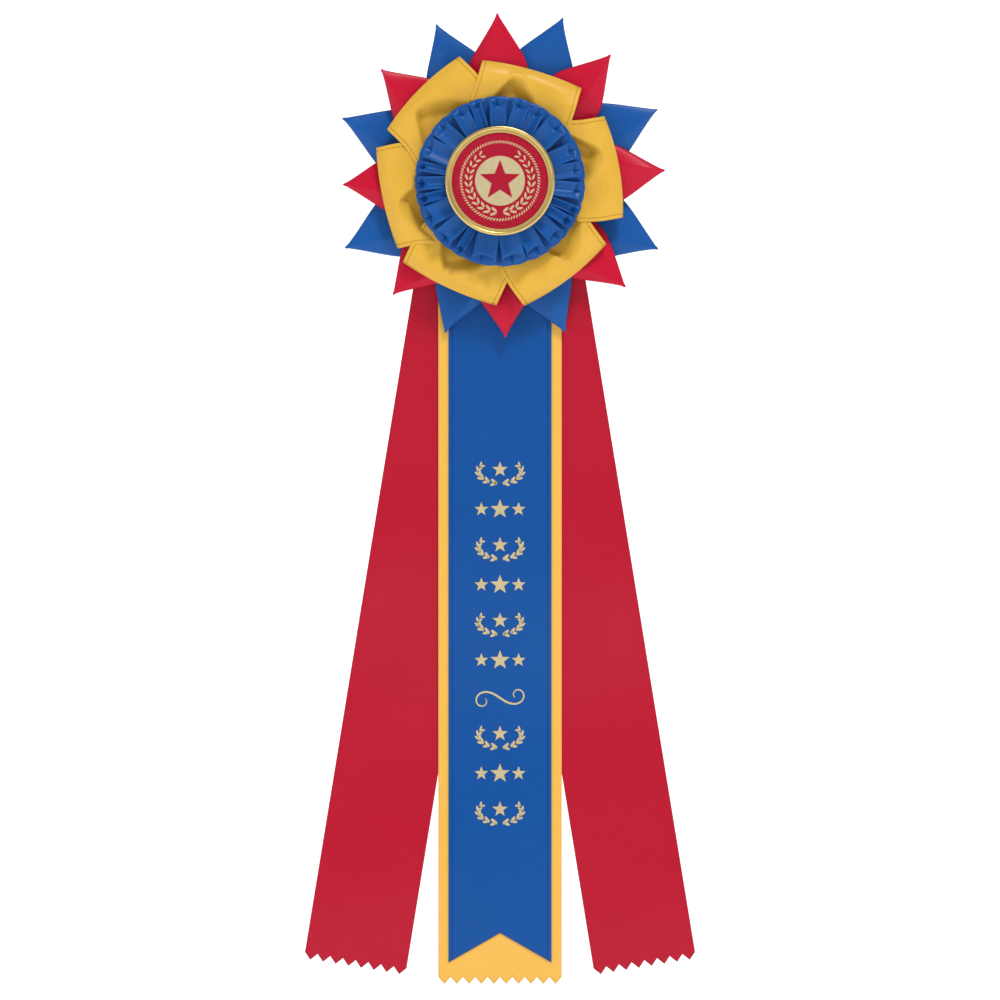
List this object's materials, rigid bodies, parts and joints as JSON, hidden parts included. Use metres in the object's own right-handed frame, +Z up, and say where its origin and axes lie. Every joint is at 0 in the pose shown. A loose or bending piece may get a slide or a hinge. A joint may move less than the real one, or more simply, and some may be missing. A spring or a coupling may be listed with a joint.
{
  "type": "award rosette ribbon",
  "caption": "Hanging award rosette: round badge in a pleated ruffle, ribbon loops and folded points, long streamers below and a hinged bar pin behind.",
  "frame": {"origin": "on the rosette's axis, on the rear face of the back card, under the middle of the bar pin", "axes": "+X to the right, +Z up, the front of the rosette faces -Y"},
  "size_m": [0.2408, 0.0485, 0.599],
  "materials": {
    "blue_satin": "royal blue satin ribbon, fine crosswise weave",
    "red_satin": "red satin ribbon, fine crosswise weave",
    "gold_satin": "yellow gold satin ribbon with a stitched selvedge",
    "back_card": "white card with blank ruled lines",
    "petal_card": "plain card",
    "buckram": "stiffened open weave",
    "tinplate": "tinned sheet",
    "printed_face": "red print with gold ornament",
    "clear_film": "clear glossy film",
    "gold_rim": "polished gold-coloured rim",
    "staple_wire": "bright wire",
    "glue": "hot-melt glue",
    "pin_steel": "nickel-plated steel"
  },
  "bodies": {
    "root": {"back_card": "back_card", "petal_card": "petal_card", "ruffle_ring": "buckram", "blue_ruffle": "blue_satin", "button_back": "tinplate", "button_shell": "tinplate", "printed_face": "printed_face", "clear_cover": "clear_film", "gold_rim": "gold_rim", "staples": "staple_wire", "glue_dabs": "glue", "pin_bar": "pin_steel", "hinge_rivet": "pin_steel", "catch_housing": "pin_steel", "red_point_1": "red_satin", "blue_point_1": "blue_satin", "red_point_2": "red_satin", "blue_point_2": "blue_satin", "red_point_3": "red_satin", "blue_point_3": "blue_satin", "red_point_4": "red_satin", "blue_point_4": "blue_satin", "red_point_5": "red_satin", "blue_point_5": "blue_satin", "red_point_6": "red_satin", "blue_point_6": "blue_satin", "red_point_7": "red_satin", "blue_point_7": "blue_satin", "red_point_8": "red_satin", "blue_point_8": "blue_satin", "gold_loop_1": "gold_satin", "gold_loop_2": "gold_satin", "gold_loop_3": "gold_satin", "gold_loop_4": "gold_satin", "gold_loop_5": "gold_satin", "gold_loop_6": "gold_satin", "blue_streamer_head": "blue_satin", "gold_streamer_head": "gold_satin", "red_left_streamer_head": "red_satin", "red_right_streamer_head": "red_satin"},
    "needle": {"needle": "pin_steel"},
    "lock_barrel": {"lock_barrel": "pin_steel"},
    "blue_tail": {"blue_streamer_tail": "blue_satin"},
    "gold_tail": {"gold_streamer_tail": "gold_satin"},
    "red_left_tail": {"red_left_streamer_tail": "red_satin"},
    "red_right_tail": {"red_right_streamer_tail": "red_satin"}
  },
  "joints": [
    {"name": "needle_hinge", "type": "hinge", "parent": "root", "child": "needle", "pos_m": [0.013, 0.0029, 0], "axis": [0, 0, -1], "range_deg": [0, 75]},
    {"name": "catch_lock", "type": "hinge", "parent": "root", "child": "lock_barrel", "pos_m": [-0.012, 0.0029, 0], "axis": [1, 0, 0], "range_deg": [0, 90]},
    {"name": "blue_swing", "type": "hinge", "parent": "root", "child": "blue_tail", "pos_m": [0, -0.0036, -0.104], "axis": [-1, 0, 0], "range_deg": [0, 45]},
    {"name": "gold_swing", "type": "hinge", "parent": "root", "child": "gold_tail", "pos_m": [0, -0.0029, -0.104], "axis": [-1, 0, 0], "range_deg": [0, 27]},
    {"name": "red_left_swing", "type": "hinge", "parent": "root", "child": "red_left_tail", "pos_m": [-0.03398, -0.0015, -0.142], "axis": [0.987, 0, -0.1607], "range_deg": [0, 30]},
    {"name": "red_right_swing", "type": "hinge", "parent": "root", "child": "red_right_tail", "pos_m": [0.03398, -0.0022, -0.142], "axis": [0.987, 0, 0.1607], "range_deg": [0, 30]}
  ],
  "couplings": [
    {"joint": "gold_swing", "follows": "blue_swing", "ratio": 0.6}
  ]
}
